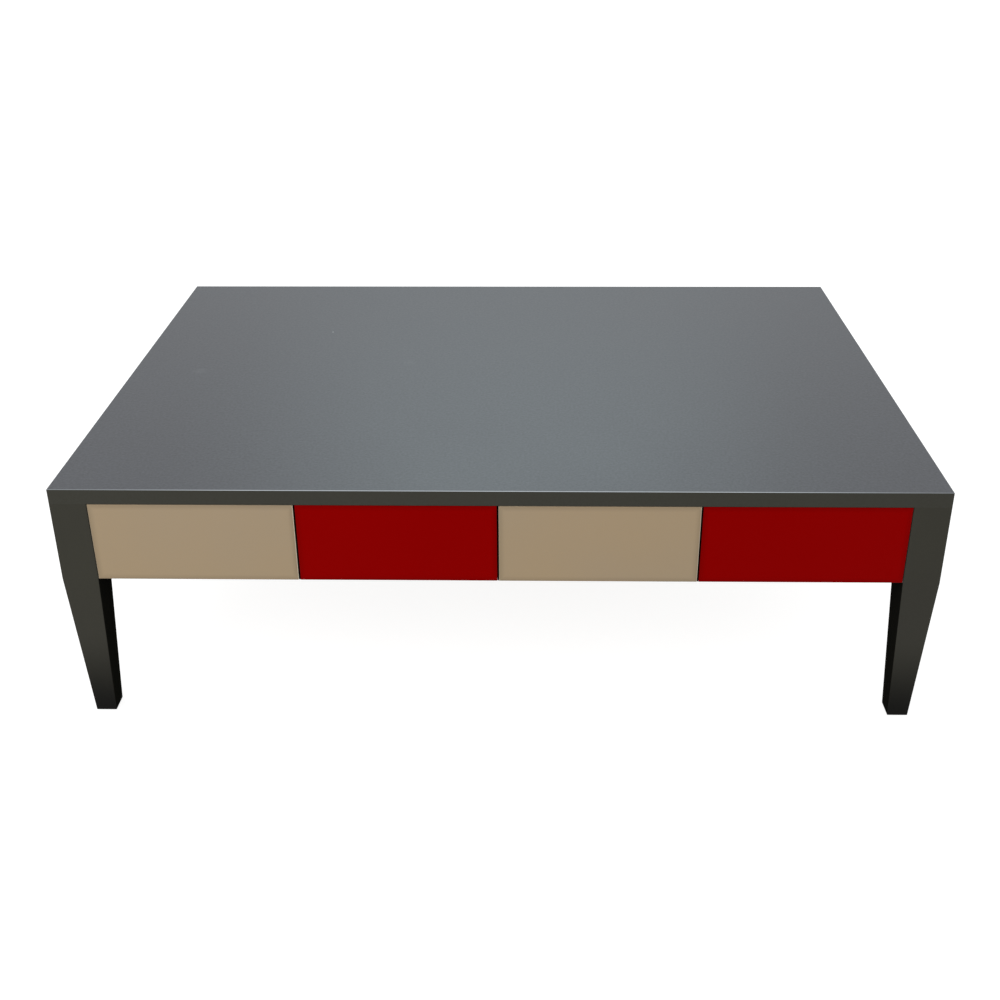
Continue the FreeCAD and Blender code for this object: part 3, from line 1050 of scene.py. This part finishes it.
@dataclass(frozen=True)
class PhotoCamera:
    """The photograph's camera: its place, its turns, and its frame in pixels of the photograph."""

    name: str = "photo_camera"
    place: tuple[float, float, float] = (0.0400, -1.7895, 1.1585)
    yaw_deg: float = 1.152
    pitch_deg: float = -24.376
    roll_deg: float = -0.341
    focal_px: float = 1204.98
    axis_px: tuple[float, float] = (505.85, 385.23)
    frame_px: float = 1000.0
    sensor_mm: float = 36.0

    def build(self) -> None:
        """Adds the camera and makes it the scene's own.

        Unturned, a camera looks down with +Y up. It is rolled, raised to its pitch and turned to its yaw.
        """
        lens = bpy.data.cameras.new(self.name)
        lens.sensor_width = self.sensor_mm
        lens.lens = self.focal_px / self.frame_px * self.sensor_mm
        lens.shift_x = 0.5 - self.axis_px[0] / self.frame_px
        lens.shift_y = self.axis_px[1] / self.frame_px - 0.5
        camera = bpy.data.objects.new(self.name, lens)
        yaw = Matrix.Rotation(math.radians(self.yaw_deg), 4, "Z")
        pitch = Matrix.Rotation(math.radians(90.0 + self.pitch_deg), 4, "X")
        roll = Matrix.Rotation(math.radians(self.roll_deg), 4, "Z")
        camera.matrix_world = Matrix.Translation(self.place) @ yaw @ pitch @ roll
        bpy.context.scene.collection.objects.link(camera)
        bpy.context.scene.camera = camera
        log.info("camera: %s", self.name)


@dataclass
class Studio:
    """A white floor under a white sky, with a soft lamp in front and one behind."""

    floor_reach: float = 30.0
    floor_lines: int = 3
    floor_glow: float = 0.86
    floor_colour: str = "#959595"
    sky_light: float = 1.0
    softboxes: tuple[Softbox, ...] = (
        Softbox("front_fill", (-0.9, -2.2, 1.8), (0.0, -0.4, 0.25), 2.0, 1.6, 1.95, "#fffefb"),
        Softbox("back_panel", (0.0, 2.6, 2.4), (0.0, 0.0, 0.4), 1.8, 0.6, 4.2, "#dcfaff"),
    )

    def build(self) -> None:
        """Adds the sky, the floor, the lamps and the camera."""
        self.build_sky()
        self.build_floor()
        for softbox in self.softboxes:
            softbox.build()
        PhotoCamera().build()

    def build_sky(self) -> None:
        """Makes the world white where it is seen or mirrored, and a plain soft light elsewhere."""
        world = bpy.data.worlds.new("white_sky")
        bpy.context.scene.world = world
        world.cycles.sampling_method = "NONE"
        world.use_nodes = True
        tree = world.node_tree
        tree.nodes.clear()
        strength = add_node(tree, "ShaderNodeMapRange", inputs={
            "Value": self.add_seen(tree), "To Min": self.sky_light,
        })
        sky = add_node(tree, "ShaderNodeBackground", inputs={
            "Color": linear(WHITE), "Strength": strength.outputs[0],
        })
        add_node(tree, "ShaderNodeOutputWorld", inputs={"Surface": sky.outputs[0]})
        log.info("sky: %s", world.name)

    def add_seen(self, tree: NodeTree) -> NodeSocket:
        """Adds the test for what is seen directly, in a mirror or through glass.

        Args:
            tree: the tree of the sky or the floor.

        Returns:
            A socket that is 1 where it is seen so, and 0 where it only gives light.
        """
        path = add_node(tree, "ShaderNodeLightPath")
        socket = path.outputs["Is Camera Ray"]
        for name in ("Is Glossy Ray", "Is Transmission Ray"):
            either = add_node(tree, "ShaderNodeMath", {"operation": "MAXIMUM"}, {
                0: socket, 1: path.outputs[name],
            })
            socket = either.outputs[0]
        return socket

    def build_floor(self) -> None:
        """Lays the floor: a square grid that glows white where it is seen, and takes the table's shadow."""
        steps = np.linspace(-self.floor_reach, self.floor_reach, self.floor_lines)
        x, y = np.meshgrid(steps, steps)
        points = np.column_stack([x.ravel(), y.ravel(), np.zeros(x.size)])
        count = self.floor_lines
        corner = np.arange(count * count).reshape(count, count)[:-1, :-1].ravel()
        faces = np.column_stack([corner, corner + 1, corner + count + 1, corner + count])
        mesh = bpy.data.meshes.new("floor")
        mesh.from_pydata(points.tolist(), [], faces.tolist())
        floor = bpy.data.objects.new("floor", mesh)
        bpy.context.scene.collection.objects.link(floor)
        recipe = Recipe("white_studio_floor", {
            "Base Color": linear(self.floor_colour), "Roughness": 1.0, "Specular IOR Level": 0.0,
            "Emission Color": linear(WHITE),
        })
        seen = self.add_seen(recipe.material.node_tree)
        glow = recipe.add("ShaderNodeMapRange", inputs={"Value": seen, "To Max": self.floor_glow})
        recipe.feed({"Emission Strength": glow.outputs[0]})
        recipe.material.cycles.emission_sampling = "NONE"
        mesh.materials.append(recipe.material)
        log.info("%s: %s", floor.name, recipe.material.name)


def main() -> None:
    """Loads the frame, dresses it piece by piece, and builds the studio round it."""
    logging.basicConfig(level=logging.INFO, format="%(name)s: %(message)s")
    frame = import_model()
    bpy.context.scene.view_settings.view_transform = "Standard"
    dresser = Dresser(frame["nodes"])
    screw_steel = PlatedSteel("zinc_plated_screws", line_stretch=1.0).material()
    LacqueredFrame().dress(dresser)
    DrawerCase().dress(dresser, screw_steel)
    shared = DrawerFinishes.with_screws(screw_steel)
    for number, front in enumerate((CREAM, RED, CREAM, RED), start=1):
        Drawer(number, front, shared).dress(dresser)
    Studio().build()


if __name__ == "__main__":
    main()
